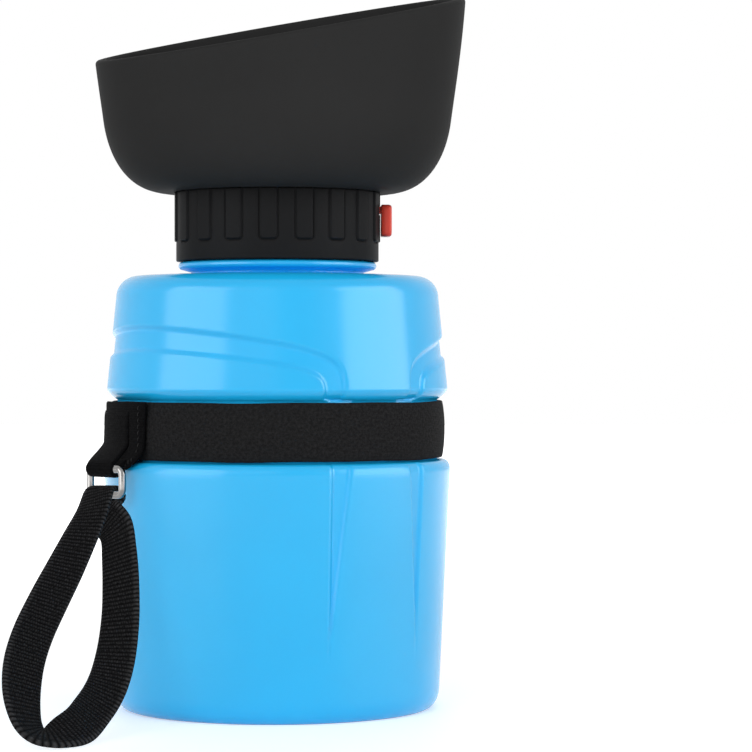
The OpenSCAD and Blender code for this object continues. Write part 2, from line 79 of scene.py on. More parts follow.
# cap and lock
CAP_R, CAP_Z, CAP_TOP, SKIRT_BORE, CAP_EDGE = 25.25, 111.0, 128.2, 23.35, 0.3
RIBS, RIB_FIRST, RIB_HALF, RIB_PROUD, RIB_FOOT = 18, -5.0, 2.0, 0.42, 115.9
WINDOW_AT, WINDOW_Z, DECK_Z = (84.6, 135.4), (122.75, 124.95), (120.3, 122.3)
PORT_AT, PORT_R, PORT_FIRST = 9.0, 2.5, 90.0
LOCK_IN, LOCK_OUT, LOCK_W, LOCK_Z = 25.85, 28.45, 7.0, (117.25, 125.25)

# bowl
BOWL_T, RIM_Z, RIM_SLANT, RIM_AT = 2.2, 168.85, 12.4, 128.0
CLAMP_HOLE, BOWL_Z, BOWL_FLAT, BOWL_BELLY = 14.1, 128.25, 28, (43.3, 145.85)


# ---------------------------------------------------------------------------
# meshes from grids
# ---------------------------------------------------------------------------

def put_mesh(name, points, quads, tris=(), uv=None):
    """A smooth object from points in millimetres and its four-sided and three-sided faces."""
    mesh = bpy.data.meshes.new(name)
    quads = np.asarray(quads, np.int32).reshape(-1, 4)
    tris = np.asarray(tris, np.int32).reshape(-1, 3)
    corners = np.concatenate([quads.ravel(), tris.ravel()])
    sizes = np.concatenate([np.full(len(quads), 4), np.full(len(tris), 3)]).astype(np.int32)
    starts = np.concatenate([[0], np.cumsum(sizes)[:-1]]).astype(np.int32)
    mesh.vertices.add(len(points))
    mesh.vertices.foreach_set("co", (np.asarray(points, float) * MM).astype(np.float32).ravel())
    mesh.loops.add(len(corners))
    mesh.loops.foreach_set("vertex_index", corners.astype(np.int32))
    mesh.polygons.add(len(sizes))
    mesh.polygons.foreach_set("loop_start", starts)
    mesh.polygons.foreach_set("loop_total", sizes)
    mesh.polygons.foreach_set("use_smooth", np.ones(len(sizes), bool))
    if uv is not None:
        layer = mesh.uv_layers.new(name="surface")
        layer.data.foreach_set("uv", np.asarray(uv, np.float32).ravel())
    mesh.update(calc_edges=True)
    mesh.validate()
    piece = bpy.data.objects.new(name, mesh)
    bpy.context.collection.objects.link(piece)
    return piece


def grid_faces(rows, cols, round_rows=False, round_cols=False):
    """Four-sided faces of a grid, facing along (column direction) x (row direction)."""
    r = np.arange(rows if round_rows else rows - 1)[:, None]
    c = np.arange(cols if round_cols else cols - 1)[None, :]
    r2, c2 = (r + 1) % rows, (c + 1) % cols
    here, over = r * cols, r2 * cols
    return np.stack([here + c, here + c2, over + c2, over + c], -1).reshape(-1, 4)


def grid_uv(u, v, cells):
    """Corner coordinates for the faces of grid_faces from one value a grid line, seams included."""
    rows, cols = cells
    r, c = np.meshgrid(np.arange(rows), np.arange(cols), indexing="ij")
    corners = [(r, c), (r, c + 1), (r + 1, c + 1), (r + 1, c)]
    return np.stack([np.stack([u[j], v[i]], -1) for i, j in corners], 2).reshape(-1, 2)


def put_grid(name, grid, round_rows=False, round_cols=False, start=None, end=None,
             u=None, v=None):
    """Makes an object from a grid of points; start and end are points that close its first and
    last rows with a fan. u and v are the surface coordinates of its grid lines, in millimetres."""
    rows, cols = grid.shape[:2]
    points = grid.reshape(-1, 3)
    quads = grid_faces(rows, cols, round_rows, round_cols)
    uv = None
    if u is not None:
        uv = grid_uv(u, v, (rows - (not round_rows), cols - (not round_cols)))
    tris, first = [], np.arange(cols)
    if start is not None:
        points = np.vstack([points, start])
        tris.append(np.stack([np.full(cols, len(points) - 1), np.roll(first, -1), first], 1))
    if end is not None:
        points = np.vstack([points, end])
        last = first + (rows - 1) * cols
        tris.append(np.stack([np.full(cols, len(points) - 1), last, np.roll(last, -1)], 1))
    tris = np.concatenate(tris) if tris else np.zeros((0, 3), int)
    if uv is not None and len(tris):
        uv = np.vstack([uv, np.zeros((len(tris) * 3, 2))])
    return put_mesh(name, points, quads, tris, uv)


def polar(at, r, z):
    """Points at directions in degrees, radii and heights."""
    a = np.radians(at)
    return np.stack(np.broadcast_arrays(r * np.sin(a), -r * np.cos(a), z), -1)


def arc(centre, radii, start, stop, count=8):
    """Points of an elliptical arc, from one angle in degrees to another."""
    t = np.radians(np.linspace(start, stop, count))
    return np.stack([centre[0] + radii[0] * np.cos(t), centre[1] + radii[1] * np.sin(t)], 1)


def line(a, b, count):
    """Evenly spaced points from a to b, without the two ends."""
    t = np.linspace(0, 1, count + 2)[1:-1, None]
    return np.asarray(a) * (1 - t) + np.asarray(b) * t


def bezier(a, b, c, d, count=12):
    """Points of a cubic Bezier curve."""
    t = np.linspace(0, 1, count)[:, None]
    a, b, c, d = (np.asarray(p, float) for p in (a, b, c, d))
    return a * (1 - t) ** 3 + 3 * b * t * (1 - t) ** 2 + 3 * c * t ** 2 * (1 - t) + d * t ** 3


def smooth_step(x, width):
    """0 below -width/2, 1 above width/2, and an even blend between."""
    t = np.clip(x / width + 0.5, 0, 1)
    return t * t * (3 - 2 * t)


def unit(v):
    """Vectors scaled to a length of one."""
    return v / np.linalg.norm(v, axis=-1, keepdims=True)


def blunt(wave, power):
    """A sine or cosine raised to a power with its sign kept: it squares an ellipse's corners."""
    return np.sign(wave) * np.abs(wave) ** power


def degrees_from(middle, at):
    """Signed degrees from one direction to others, the short way round."""
    return ((at - middle) + 180) % 360 - 180


def lengths(points):
    """The length along a path from its first point to each point."""
    return np.concatenate([[0], np.cumsum(np.linalg.norm(np.diff(points, axis=0), axis=1))])


def smooth_path(points, steps):
    """A Catmull-Rom curve through points of any number of values, steps to a span."""
    p = np.asarray(points, float)
    p = np.vstack([2 * p[0] - p[1], p, 2 * p[-1] - p[-2]])
    t = np.linspace(0, 1, steps, endpoint=False)[:, None]
    spans = [0.5 * (2 * b + (c - a) * t + (2 * a - 5 * b + 4 * c - d) * t ** 2
                    + (3 * b - a - 3 * c + d) * t ** 3)
             for a, b, c, d in zip(p[:-3], p[1:-2], p[2:-1], p[3:])]
    return np.vstack(spans + [p[-2:-1]])


def resampled(path, spacing):
    """The same path with points an even distance apart, measured on its first three values."""
    along = lengths(path[:, :3])
    count = int(round(along[-1] / spacing)) + 1
    even = np.linspace(0, along[-1], count)
    return np.stack([np.interp(even, along, values) for values in path.T], 1), even


# ---------------------------------------------------------------------------
# the bottle
# ---------------------------------------------------------------------------

def outline_distance(level, across, up):
    """About how far inside the curve level = 0 a point is: the level over its slope there."""
    here, step = level(across, up), 0.05
    du = (level(across + step, up) - level(across - step, up)) / (2 * step)
    dv = (level(across, up + step) - level(across, up - step)) / (2 * step)
    return here / np.maximum(np.hypot(du, dv), 1e-4)


def wave_distance(at, z):
    """Distance into the wave channel, which lies between two arches. Each is the curve
    |x/a|^8 + ((y + d|x/a|^1.6)/b)^8 = 1, so it falls by d from its middle to its ends and
    turns down there in a tight corner."""
    mm = math.pi * UPPER_R / 180
    best = np.full(np.broadcast(at, z).shape, -50.0)
    for middle in (GRIP_AT - 90, GRIP_AT + 90):
        across = degrees_from(middle, at) * mm

        def arch(half, rise, fall):
            def level(x, y):
                out = np.abs(x) / (half * mm)
                up = np.maximum(y - WAVE_FOOT + fall * out ** 1.6, 0) / rise
                return 1 - (out ** 8 + up ** 8) ** (1 / 8)
            return level
        outer = outline_distance(arch(*WAVE_OUT), across, z)
        inner = outline_distance(arch(*WAVE_IN), across, z)
        best = np.maximum(best, np.minimum(outer, -inner))
    return best


def flute_distance(at, z):
    """Distance into a flute: a long triangle whose far edge is upright and near edge leans."""
    mm = math.pi * BODY_R / 180
    best = np.full(np.broadcast(at, z).shape, -50.0)
    for middle in (GRIP_AT, GRIP_AT + 180):
        off = np.abs(degrees_from(middle, at))
        rise = (z - FLUTE_FOOT) / (LOWER_TOP - FLUTE_FOOT)
        near = FLUTE_FAR - (FLUTE_FAR - FLUTE_NEAR) * rise
        inside = np.minimum((FLUTE_FAR - off) * mm, (off - near) * mm)
        best = np.maximum(best, inside)
    return best


def thumb_distance(at, z):
    """Distance into the thumb recess: a slot with round ends."""
    mm = math.pi * (BODY_R - 1.5) / 180
    across = degrees_from(THUMB_AT, at) * mm
    r = THUMB_W / 2
    along = np.clip(z, THUMB_Z[0] + r, THUMB_Z[1] - r)
    return r - np.hypot(across, z - along)


def bottle_columns():
    """Directions of the grid's columns, closer together where the recesses have upright edges."""
    def spacing(at):
        fine = np.full(at.shape, 1.3)
        for middle in (GRIP_AT, GRIP_AT + 180):
            fine = np.where(np.abs(degrees_from(middle, at)) < 26, 0.48, fine)
        return np.where(np.abs(degrees_from(THUMB_AT, at)) < 12, 0.7, fine)
    at = np.linspace(0, 360, 7201)[:-1]
    count = np.cumsum(0.05 / spacing(at))
    total = int(round(count[-1]))
    return np.interp(np.arange(total) * count[-1] / total, count, at)


def bottle_profile():
    """The bottle's section, from the middle of the base up the outside and down the inside, and
    which of its points take the recesses."""
    foot = (FOOT_R - FOOT_ROUND[0], FOOT_ROUND[1])
    lip = (BODY_R - LIP_ROUND[0], LOWER_TOP - LIP_ROUND[1])
    edge = (UPPER_R - UPPER_ROUND[0], GROOVE_TOP + UPPER_ROUND[1])
    crown = (SHOULDER_R - SHOULDER_ROUND[0], SHOULDER_Z - SHOULDER_ROUND[1])
    base = bezier((0, 3.5), (16, 3.5), (24, 3.2), BASE_EDGE, 9)
    roll = bezier(BASE_EDGE, (32.4, 2.3), (33.6, 0), (foot[0], 0), 9)[1:]
    lower = np.vstack([
        arc(foot, FOOT_ROUND, -90, 0, 10)[1:],
        line((FOOT_R, foot[1]), (BODY_R, lip[1]), 44),
        arc(lip, LIP_ROUND, 0, 84, 9)])
    groove = np.array([[lip[0] - 0.7, LOWER_TOP], [GROOVE_R + 0.5, LOWER_TOP + 0.05],
                       [GROOVE_R + 0.1, LOWER_TOP + 0.25], [GROOVE_R, LOWER_TOP + 0.7],
                       [GROOVE_R, GROOVE_TOP - 0.6], [GROOVE_R + 0.06, GROOVE_TOP - 0.15]])
    upper = np.vstack([
        bezier((UPPER_R - 2.2, GROOVE_TOP), (UPPER_R - 1, GROOVE_TOP + 0.9),
               (UPPER_R - 0.05, GROOVE_TOP + 1.8), (UPPER_R, edge[1]), 10),
        line((UPPER_R, edge[1]), (SHOULDER_R, crown[1]), 42),
        arc(crown, SHOULDER_ROUND, 0, 90, 14)])
    bead_r = BEAD_H / 2
    neck = np.vstack([
        line((crown[0], SHOULDER_Z), (NECK_R + 1.2, SHOULDER_Z + 0.15), 3),
        arc((NECK_R + 0.9, SHOULDER_Z + 0.95), (0.9, 0.8), 270, 180, 5),
        arc((BEAD_R - bead_r, BEAD_Z + bead_r), (bead_r, bead_r), -90, 90, 11),
        [(NECK_R + 0.4, BEAD_Z + BEAD_H + 0.05), (NECK_R, BEAD_Z + BEAD_H + 0.4)],
        arc((NECK_R - 0.4, NECK_TOP - 0.4), (0.4, 0.4), 0, 90, 4),
        arc((NECK_BORE + 0.4, NECK_TOP - 0.4), (0.4, 0.4), 90, 180, 4)])
    inner = np.vstack([
        [(NECK_BORE, SHOULDER_Z + 1)],
        arc((NECK_BORE + 1.5, SHOULDER_Z - 0.3), (1.5, 1.5), 180, 270, 4),
        arc(crown, np.array(SHOULDER_ROUND) - WALL, 90, 0, 5),
        [(UPPER_R - WALL, edge[1] + 0.8), (GROOVE_R - WALL, GROOVE_TOP + WALL),
         (GROOVE_R - WALL, LOWER_TOP - WALL), (BODY_R - WALL, lip[1] - 0.9)],
        arc(foot, np.array(FOOT_ROUND) - WALL, 0, -90, 5),
        [(BASE_EDGE[0], 4.5), (0, 5.3)]])
    parts = [(base, 0), (roll, 0), (lower, 1), (groove, 0), (upper, 1), (neck, 0), (inner, 0)]
    pressed = np.concatenate([np.full(len(points), takes) for points, takes in parts])
    return np.vstack([points for points, takes in parts]), pressed


def make_bottle():
    """The bottle: radius = section's radius less the depth of the recesses, which rises over
    1 mm at their edges."""
    at = bottle_columns()
    profile, pressed = bottle_profile()
    r, z = profile[1:-1, :1], profile[1:-1, 1:]
    columns = at[None, :]
    upper = np.where(z > GROOVE_TOP, 1, 0)
    depth = smooth_step(wave_distance(columns, z), 1.1) * upper
    depth = depth + smooth_step(flute_distance(columns, z), 1.0) * (1 - upper)
    depth = depth + THUMB_SHARE * smooth_step(thumb_distance(columns, z), 1.6) * (1 - upper)
    depth = depth * pressed[1:-1, None] * RECESS_DEPTH
    grid = polar(columns, r - depth, z)
    piece = put_grid("bottle", grid, round_cols=True, start=np.array([0, 0, profile[0, 1]]),
                     end=np.array([0, 0, profile[-1, 1]]))
    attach(piece, "bottle")
    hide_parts("bottle_body")
    return piece


def make_thread(name, body, root_r, crest_r, low, high, zero, half):
    """Screw ridges: a trapezoid section, twice half high, carried up two helices that rise 8 mm
    a turn from the height zero, and thinning out at both ends."""
    turn = np.linspace(0, 1, 90)
    height = high - low
    pieces, faces = [], []
    for k in range(THREAD_STARTS):
        z = low + height * turn
        at = 360 * ((z - zero) / THREAD_LEAD + k / THREAD_STARTS)
        fade = np.clip(np.minimum(turn, 1 - turn) * 12, 0.05, 1)
        tip = root_r + (crest_r - root_r) * fade
        foot = root_r - 0.25 * np.sign(crest_r - root_r)
        corners = [(foot, -half), (tip, -half * 0.45), (tip, half * 0.45), (foot, half)]
        rows = np.stack([polar(at, np.broadcast_to(rad, at.shape), z + off)
                         for rad, off in corners], 1)
        if crest_r < root_r:
            rows = rows[:, ::-1]
        base = len(pieces) * len(turn) * 4
        faces.append(grid_faces(len(turn), 4, round_cols=True)[:, ::-1] + base)
        last = base + (len(turn) - 1) * 4
        faces.append(np.array([[base, base + 1, base + 2, base + 3],
                               [last + 3, last + 2, last + 1, last]]))
        pieces.append(rows.reshape(-1, 3))
    piece = put_mesh(name, np.vstack(pieces), np.vstack(faces))
    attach(piece, body)
    return piece


# ---------------------------------------------------------------------------
# band, tab, ring and wrist loop
# ---------------------------------------------------------------------------

def make_band():
    """The elastic band: a thin loop with round selvedges. With t from -90 to 90 degrees up its
    face, the radius is BAND_OUT - 0.5 sin(t)^2 - 0.4 (1 - cos(t)^0.35) and the height goes as
    sin(t), and two sines round the axis let its edges wander."""
    cols = 360
    at = np.linspace(0, 360, cols, endpoint=False)
    half = (BAND_HIGH - BAND_LOW) / 2
    middle = (BAND_HIGH + BAND_LOW) / 2
    t = np.radians(np.linspace(-90, 90, 25))
    face = BAND_OUT - 0.5 * np.sin(t) ** 2 - 0.4 * (1 - np.cos(t) ** 0.35)
    out = np.stack([face, middle + half * np.sin(t)], 1)
    profile = np.vstack([[(BAND_IN + 0.15, BAND_LOW + 0.1)], out,
                         [(BAND_IN + 0.15, BAND_HIGH - 0.1)],
                         line((BAND_IN, BAND_HIGH - 0.4), (BAND_IN, BAND_LOW + 0.4), 3)])
    wander = 0.09 * np.sin(np.radians(at * 5)) + 0.07 * np.sin(np.radians(at * 11 + 40))
    grid = polar(at[None, :], profile[:, :1], profile[:, 1:] + wander[None, :] * 0.8)
    along = np.linspace(0, 2 * math.pi * BAND_OUT, cols + 1)
    across = lengths(np.vstack([profile, profile[:1]]))
    piece = put_grid("elastic_band", grid, round_rows=True, round_cols=True, u=along, v=across)
    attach(piece, "bottle")
    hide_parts("strap_band")
    return piece


def ring_point(out, along, z):
    """A point given out from the ring's plane, along its bars towards the back, and up."""
    a = math.radians(RING_FACE)
    x = RING_AT[0] + out * math.sin(a) - along * math.cos(a)
    y = RING_AT[1] - out * math.cos(a) - along * math.sin(a)
    return np.stack(np.broadcast_arrays(x, y, z), -1)


def surface_normals(grid):
    """Unit normals of a grid of points, along (column direction) x (row direction)."""
    return unit(np.cross(np.gradient(grid, axis=1), np.gradient(grid, axis=0)))


def thick_sheet(grid, thickness):
    """The two faces of a sheet with round edges: copies of the grid moved apart along its
    normals, the first and last lines of both on the middle surface."""
    normal = surface_normals(grid)
    rows, cols = grid.shape[:2]
    r = np.minimum(np.arange(rows), np.arange(rows)[::-1])[:, None]
    c = np.minimum(np.arange(cols), np.arange(cols)[::-1])[None, :]
    edge = np.minimum(np.minimum(r, c), 2)
    half = np.choose(edge, [0.0, 0.82, 1.0])[..., None] * thickness / 2
    front, back = grid + normal * half, grid - normal * half
    quads = grid_faces(rows, cols)
    second = np.arange(rows * cols).reshape(rows, cols)
    inner = np.zeros((rows, cols), bool)
    inner[1:-1, 1:-1] = True
    second[inner] = rows * cols + np.arange(inner.sum())
    points = np.vstack([front.reshape(-1, 3), back[inner]])
    return points, np.vstack([quads, second.ravel()[quads][:, ::-1]])


def sheet_uv(grid):
    """Lengths across and along a sheet, in millimetres, for both of its faces."""
    rows, cols = grid.shape[:2]
    u, v = lengths(grid[rows // 2]), lengths(grid[:, cols // 2])
    front = grid_uv(u, v, (rows - 1, cols - 1)).reshape(-1, 4, 2)
    return np.concatenate([front, front[:, ::-1]]).reshape(-1, 2)


def pad_standoff(z):
    """How far the pad stands off the band to clear the lower body's lip: 0 above, 1.55 below."""
    return 1.55 * smooth_step(64.0 - z, 4.5)


def pad_sheet():
    """The pad's middle surface, over shares t down and side across: its radius is the band's plus
    the standoff, and its right edge draws in towards its foot as a power of t."""
    share = np.concatenate([[0, 0.02], np.linspace(0.05, 0.95, 20), [0.98, 1.0]])
    t, side = share[:, None], share[None, :]
    top = BAND_HIGH + 0.1
    z = top - t * (top - PAD_FOOT) + 0.25 * np.sin(side * math.pi) * (t > 0.5)
    r = BAND_OUT + 0.7 + pad_standoff(z)
    left = PAD_LEFT + 1.6 * t ** 4
    right = PAD_RIGHT - 1.2 * t - 7.5 * np.clip((t - 0.72) / 0.28, 0, 1) ** 2.2
    return polar(left + (right - left) * side, r, z)


def fold_sheet():
    """The fold's middle surface: from the pad's upper half down its front, leaning out to the
    ring's upper bar, round the bar and back up to the pad behind the ring."""
    wrap = WIRE_R + 0.2 + FOLD_T / 2
    pad_start, pad_end = 74.6, 66.2
    side = np.concatenate([[-1, -0.97], np.linspace(-0.9, 0.9, 18), [0.97, 1]])[None, :]
    top = np.linspace(0, 1, 9)[:, None]
    at = PAD_LEFT + 0.5 + (side + 1) / 2 * (PAD_RIGHT - 9.0 - PAD_LEFT)
    on_pad = polar(at, BAND_OUT + 1.15 + 0.25 * top, pad_start - (pad_start - pad_end) * top)
    fall = np.linspace(0, 1, 12)[1:, None]
    ease = smooth_step(fall - 0.5, 1.0)[..., None]
    high = polar(at, BAND_OUT + 1.4 + 1.2 * fall, pad_end - fall * (pad_end - RING_TOP - 1.2))
    reach = 0.5 * (FOLD_BACK + FOLD_FRONT) * -side + 0.5 * (FOLD_BACK - FOLD_FRONT)
    low = ring_point(wrap * 0.8 - 0.15 * (1 - fall), reach, RING_TOP + 0.7 + (1 - fall) * 3.5)
    flare = high * (1 - ease) + low * ease
    turn = np.radians(np.linspace(20, -190, 14))[:, None]
    fold = ring_point(wrap * np.cos(turn), reach, RING_TOP + wrap * np.sin(turn))
    back = np.linspace(0, 1, 5)[1:, None]
    behind = ring_point(-wrap - 2.0 * back ** 1.4, reach, RING_TOP + 0.3 + 2.2 * back)
    return np.concatenate([on_pad, flare, fold, behind])


def make_stitches():
    """Stitches along the pad's right edge and foot: short threads, each a round section carried
    along an arch of height 0.16 cos^0.5, so that both its ends dive into the pad."""
    spots = [(PAD_RIGHT - 3.4, z) for z in np.arange(75.0, 63.4, -1.5)]
    spots += [(PAD_RIGHT - 4.4 - 1.5 * k, 62.6 - 0.55 * k) for k in range(3)]
    points, faces = [], []
    half, rings, sides = 0.52, 9, 8
    along = np.linspace(-half, half, rings)
    turn = np.linspace(0, 2 * math.pi, sides, endpoint=False)
    lift = 0.16 * np.cos(along / half * math.pi / 2) ** 0.5
    thin = 0.13 * np.cos(along / half * math.pi / 2.3) ** 0.3
    rise = thin[:, None] * np.cos(turn)[None, :]
    for at, z in spots:
        r = BAND_OUT + 1.2 + float(pad_standoff(z))
        spread = thin[:, None] * np.sin(turn)[None, :] / (r * math.pi / 180)
        rows = polar(at + spread + along[:, None] * 0.35, r + lift[:, None] + rise,
                     z + along[:, None])
        faces.append(grid_faces(rings, sides, round_cols=True) + rings * sides * len(points))
        points.append(rows.reshape(-1, 3))
    piece = put_mesh("tab_stitches", np.vstack(points), np.vstack(faces))
    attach(piece, "bottle")
    return piece


def make_tab():
    """The sewn tab: a pad of fabric on the band and a fold of it round the ring's bar."""
    pieces = []
    for name, grid, thickness in (("tab_pad", pad_sheet(), PAD_T),
                                  ("tab_fold", fold_sheet(), FOLD_T)):
        points, faces = thick_sheet(grid, thickness)
        piece = put_mesh(name, points, faces, uv=sheet_uv(grid))
        smooth = piece.modifiers.new("smooth", "SUBSURF")
        smooth.levels = smooth.render_levels = 1
        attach(piece, "bottle")
        pieces.append(piece)
    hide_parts("strap_tab")
    return pieces


def make_ring():
    """The wire ring: a round section carried along a rectangle with rounded corners."""
    corner = 1.5
    half, rise = RING_HALF - corner, (RING_TOP - RING_LOW) / 2 - corner
    middle = (RING_TOP + RING_LOW) / 2
    path = np.vstack([arc((sx * half, middle + sz * rise), (corner, corner), a, a + 90, 12)
                      for sx, sz, a in ((1, 1, 0), (-1, 1, 90), (-1, -1, 180), (1, -1, 270))])
    tangent = unit(np.roll(path, -1, 0) - np.roll(path, 1, 0))
    normal = np.stack([tangent[:, 1], -tangent[:, 0]], 1)
    t = np.linspace(0, 2 * math.pi, 24, endpoint=False)
    out = WIRE_R * np.sin(t)[None, :]
    spread = WIRE_R * np.cos(t)[None, :, None] * normal[:, None, :]
    flat = path[:, None, :] + spread
    grid = ring_point(out + 0 * flat[..., 0], flat[..., 0], flat[..., 1])
    piece = put_grid("ring_wire", grid, round_rows=True, round_cols=True)
    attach(piece, "ring")
    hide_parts("strap_ring")
    return piece


# the wrist loop's middle line from the ring's middle along X and Y and up from the table, with
# the direction of the webbing's width in degrees from +X and up
LOOP_ROUTE = [
    (-3, -6.9, 50.4, 136, 6), (-5.2, -11.5, 45.2, 142, 14), (-8.7, -18, 37.5, 154, 20),
    (-11.9, -25, 30.7, 166, 22), (-14.7, -32, 24.2, 181, 18), (-16.2, -38.5, 18.6, 197, 12),
    (-16.5, -44, 13.4, 212, 6), (-15.9, -48.2, 8.8, 227, 1), (-14.5, -50.8, 5, 242, -4),
    (-12.2, -51.9, 2.8, 258, -9), (-9, -51.5, 2.5, 275, -22), (-5.8, -49.4, 3.3, 293, -38),
    (-3, -45.6, 4.6, 312, -48), (-0.9, -40.4, 6.9, 326, -46), (1.2, -35.6, 9.9, 333, -37),
    (2.8, -31, 13.8, 335, -26), (3.9, -26, 19.2, 335, -17), (4.5, -21.5, 26.2, 333, -10),
    (4.4, -17.5, 33.6, 330, -6), (3.8, -13.2, 40.6, 325, -3), (2.8, -9.2, 46.2, 319, -1)]


def loop_path():
    """The webbing's middle line and width directions, folded over the ring's lower bar."""
    wrap = WIRE_R + 0.15 + WEB_T / 2
    turn = 180 + RING_FACE

    def by_bar(out, along, z, width):
        return np.append(ring_point(out, along, z), [width, 0])
    route = [np.array([RING_AT[0] + x, RING_AT[1] + y, *rest]) for x, y, *rest in LOOP_ROUTE]
    ends = ([by_bar(0.1, 0, RING_LOW + wrap, turn), by_bar(2.6, -0.5, RING_LOW + 0.9, turn)],
            [by_bar(2.4, -1.6, RING_LOW - 3.8, turn + 180),
             by_bar(-0.8, -0.4, RING_LOW - wrap, turn + 180),
             by_bar(-wrap, 0, RING_LOW, turn + 180),
             by_bar(-wrap * 0.7, 0, RING_LOW + wrap * 0.7, turn + 180)])
    return np.array(ends[0] + route + ends[1])


def make_wrist_loop():
    """The webbing: a flat section carried along the loop, |cos t|^0.35 wide and |sin t|^0.45
    thick at t round it, which gives it round edges."""
    path, along = resampled(smooth_path(loop_path(), 12), 0.6)
    centre = path[:, :3]
    tangent = unit(np.gradient(centre, axis=0))
    angle, tilt = np.radians(path[:, 3]), np.radians(path[:, 4])
    width = np.stack([np.cos(angle) * np.cos(tilt), np.sin(angle) * np.cos(tilt), np.sin(tilt)], 1)
    width = unit(width - tangent * (width * tangent).sum(1, keepdims=True))
    normal = np.cross(tangent, width)
    t = np.radians(np.linspace(0, 360, 44, endpoint=False))
    across = (WEB_W / 2 * blunt(np.cos(t), 0.35))[::-1]
    thick = (WEB_T / 2 * blunt(np.sin(t), 0.45))[::-1]
    grid = (centre[:, None] + across[None, :, None] * width[:, None]
            + thick[None, :, None] * normal[:, None])
    section = np.stack([across, thick], 1)
    round_it = lengths(np.vstack([section, section[:1]]))
    piece = put_grid("wrist_webbing", grid, round_cols=True, start=centre[0], end=centre[-1],
                     u=round_it, v=along)
    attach(piece, "wrist_loop")
    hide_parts("wrist_strap")
    return piece


# ---------------------------------------------------------------------------
# head
# ---------------------------------------------------------------------------

def rib_distance(at, z):
    """Distance into a grip rib: upright bars with round corners at their foot."""
    step = 360 / RIBS
    off = ((at - RIB_FIRST + step / 2) % step - step / 2) * math.pi * CAP_R / 180
    corner = 0.7
    across = np.maximum(np.abs(off) - (RIB_HALF - corner), 0)
    below = np.maximum(RIB_FOOT + corner - z, 0)
    return corner - np.hypot(across, below)


def edge_inset(height):
    """How far the skirt draws in, at a height in from its edge, to round that edge."""
    short = np.maximum(CAP_EDGE - height, 0)
    return CAP_EDGE - np.sqrt(np.maximum(CAP_EDGE ** 2 - short ** 2, 0))


def cap_skirt():
    """The skirt as a wall with the lock's window in it: outer radius = plain radius + the
    ribs' height, which rises over 0.34 mm at their edges, less a groove round each rib, whose
    depth falls off from 0.3 mm as a bell curve."""
    edge = math.degrees(RIB_HALF / CAP_R)
    near = np.linspace(-1.5, 1.5, 13)
    one = np.concatenate([-edge + near, [-1.8, 0, 1.8], edge + near,
                          [7.4, 8.8, 10, 11.2, 12.6]])
    at = np.concatenate([k * 360 / RIBS + RIB_FIRST + one for k in range(RIBS)])
    at = np.sort(np.concatenate([at, WINDOW_AT]))
    z = np.concatenate([
        [CAP_Z + 0.02, CAP_Z + 0.12, CAP_Z + 0.3, CAP_Z + 0.6, CAP_Z + 2.5],
        np.linspace(RIB_FOOT - 0.7, RIB_FOOT + 1.1, 15), [118.5, 120.5, WINDOW_Z[0] - 0.25],
        [WINDOW_Z[0], WINDOW_Z[1]], [WINDOW_Z[1] + 0.25, 126.5],
        [CAP_TOP - 0.5, CAP_TOP - 0.2, CAP_TOP - 0.06, CAP_TOP]])[:, None]
    inset = edge_inset(z - CAP_Z) + edge_inset(CAP_TOP - z)
    into = rib_distance(at[None, :], z)
    rib = RIB_PROUD * smooth_step(into, 0.34)
    groove = 0.3 * np.exp(-((into + 0.3) / 0.2) ** 2) * (z < CAP_TOP - CAP_EDGE)
    outer = polar(at[None, :], CAP_R - inset + rib - groove, z)
    inner_r = np.where(z < 121.5, SKIRT_BORE, SKIRT_BORE - 0.1) + 0 * at[None, :]
    inner = polar(at[None, :], inner_r, z)[::-1]
    grid = np.concatenate([outer, inner])
    rows, cols = grid.shape[:2]
    quads = grid_faces(rows, cols, True, True).reshape(rows, cols, 4)
    r0, r1 = (int(np.argmin(np.abs(z[:, 0] - h))) for h in WINDOW_Z)
    c0, c1 = (int(np.argmin(np.abs(at - a))) for a in WINDOW_AT)
    keep = np.ones((rows, cols), bool)
    keep[r0:r1, c0:c1] = False
    keep[rows - 1 - r1:rows - 1 - r0, c0:c1] = False
    index = np.arange(rows * cols).reshape(rows, cols)
    walls = []
    for j in range(c0, c1):
        for i, flip in ((r0, False), (r1, True)):
            k = rows - 1 - i
            wall = [index[i, j], index[i, j + 1], index[k, j + 1], index[k, j]]
            walls.append(wall[::-1] if flip else wall)
    for j, flip in ((c0, True), (c1, False)):
        for i in range(r0, r1):
            k = rows - 1 - i
            wall = [index[i, j], index[i + 1, j], index[k - 1, j], index[k, j]]
            walls.append(wall[::-1] if flip else wall)
    return grid.reshape(-1, 3), np.vstack([quads[keep], walls])


def deck_sector(first):
    """A third of the deck with its water port: a grid between the sector's outline and the
    port's circle, on top and underneath."""
    edge = np.linspace(0, SKIRT_BORE + 0.3, 22)[:, None]
    ends = first - 60, first + 60
    out = polar(ends[0], edge[:-1], 0)[:, 0]
    bend = polar(np.linspace(*ends, 45)[:-1], SKIRT_BORE + 0.3, 0)
    home = polar(ends[1], edge[:0:-1], 0)[:, 0]
    outline = np.vstack([out, bend, home])[:, :2]
    centre = polar(first, PORT_AT, 0)[:2]
    ring = centre + PORT_R * unit(outline - centre)
    t = np.array([0, 0.5, 0.9, 1.0])[:, None, None]
    flat = outline * (1 - t) + ring * t
    low, top = (np.concatenate([flat, np.full(flat.shape[:2] + (1,), z)], -1) for z in DECK_Z)
    grid = np.concatenate([top, low[::-1]])
    return grid.reshape(-1, 3), grid_faces(*grid.shape[:2], True, True)[:, ::-1]


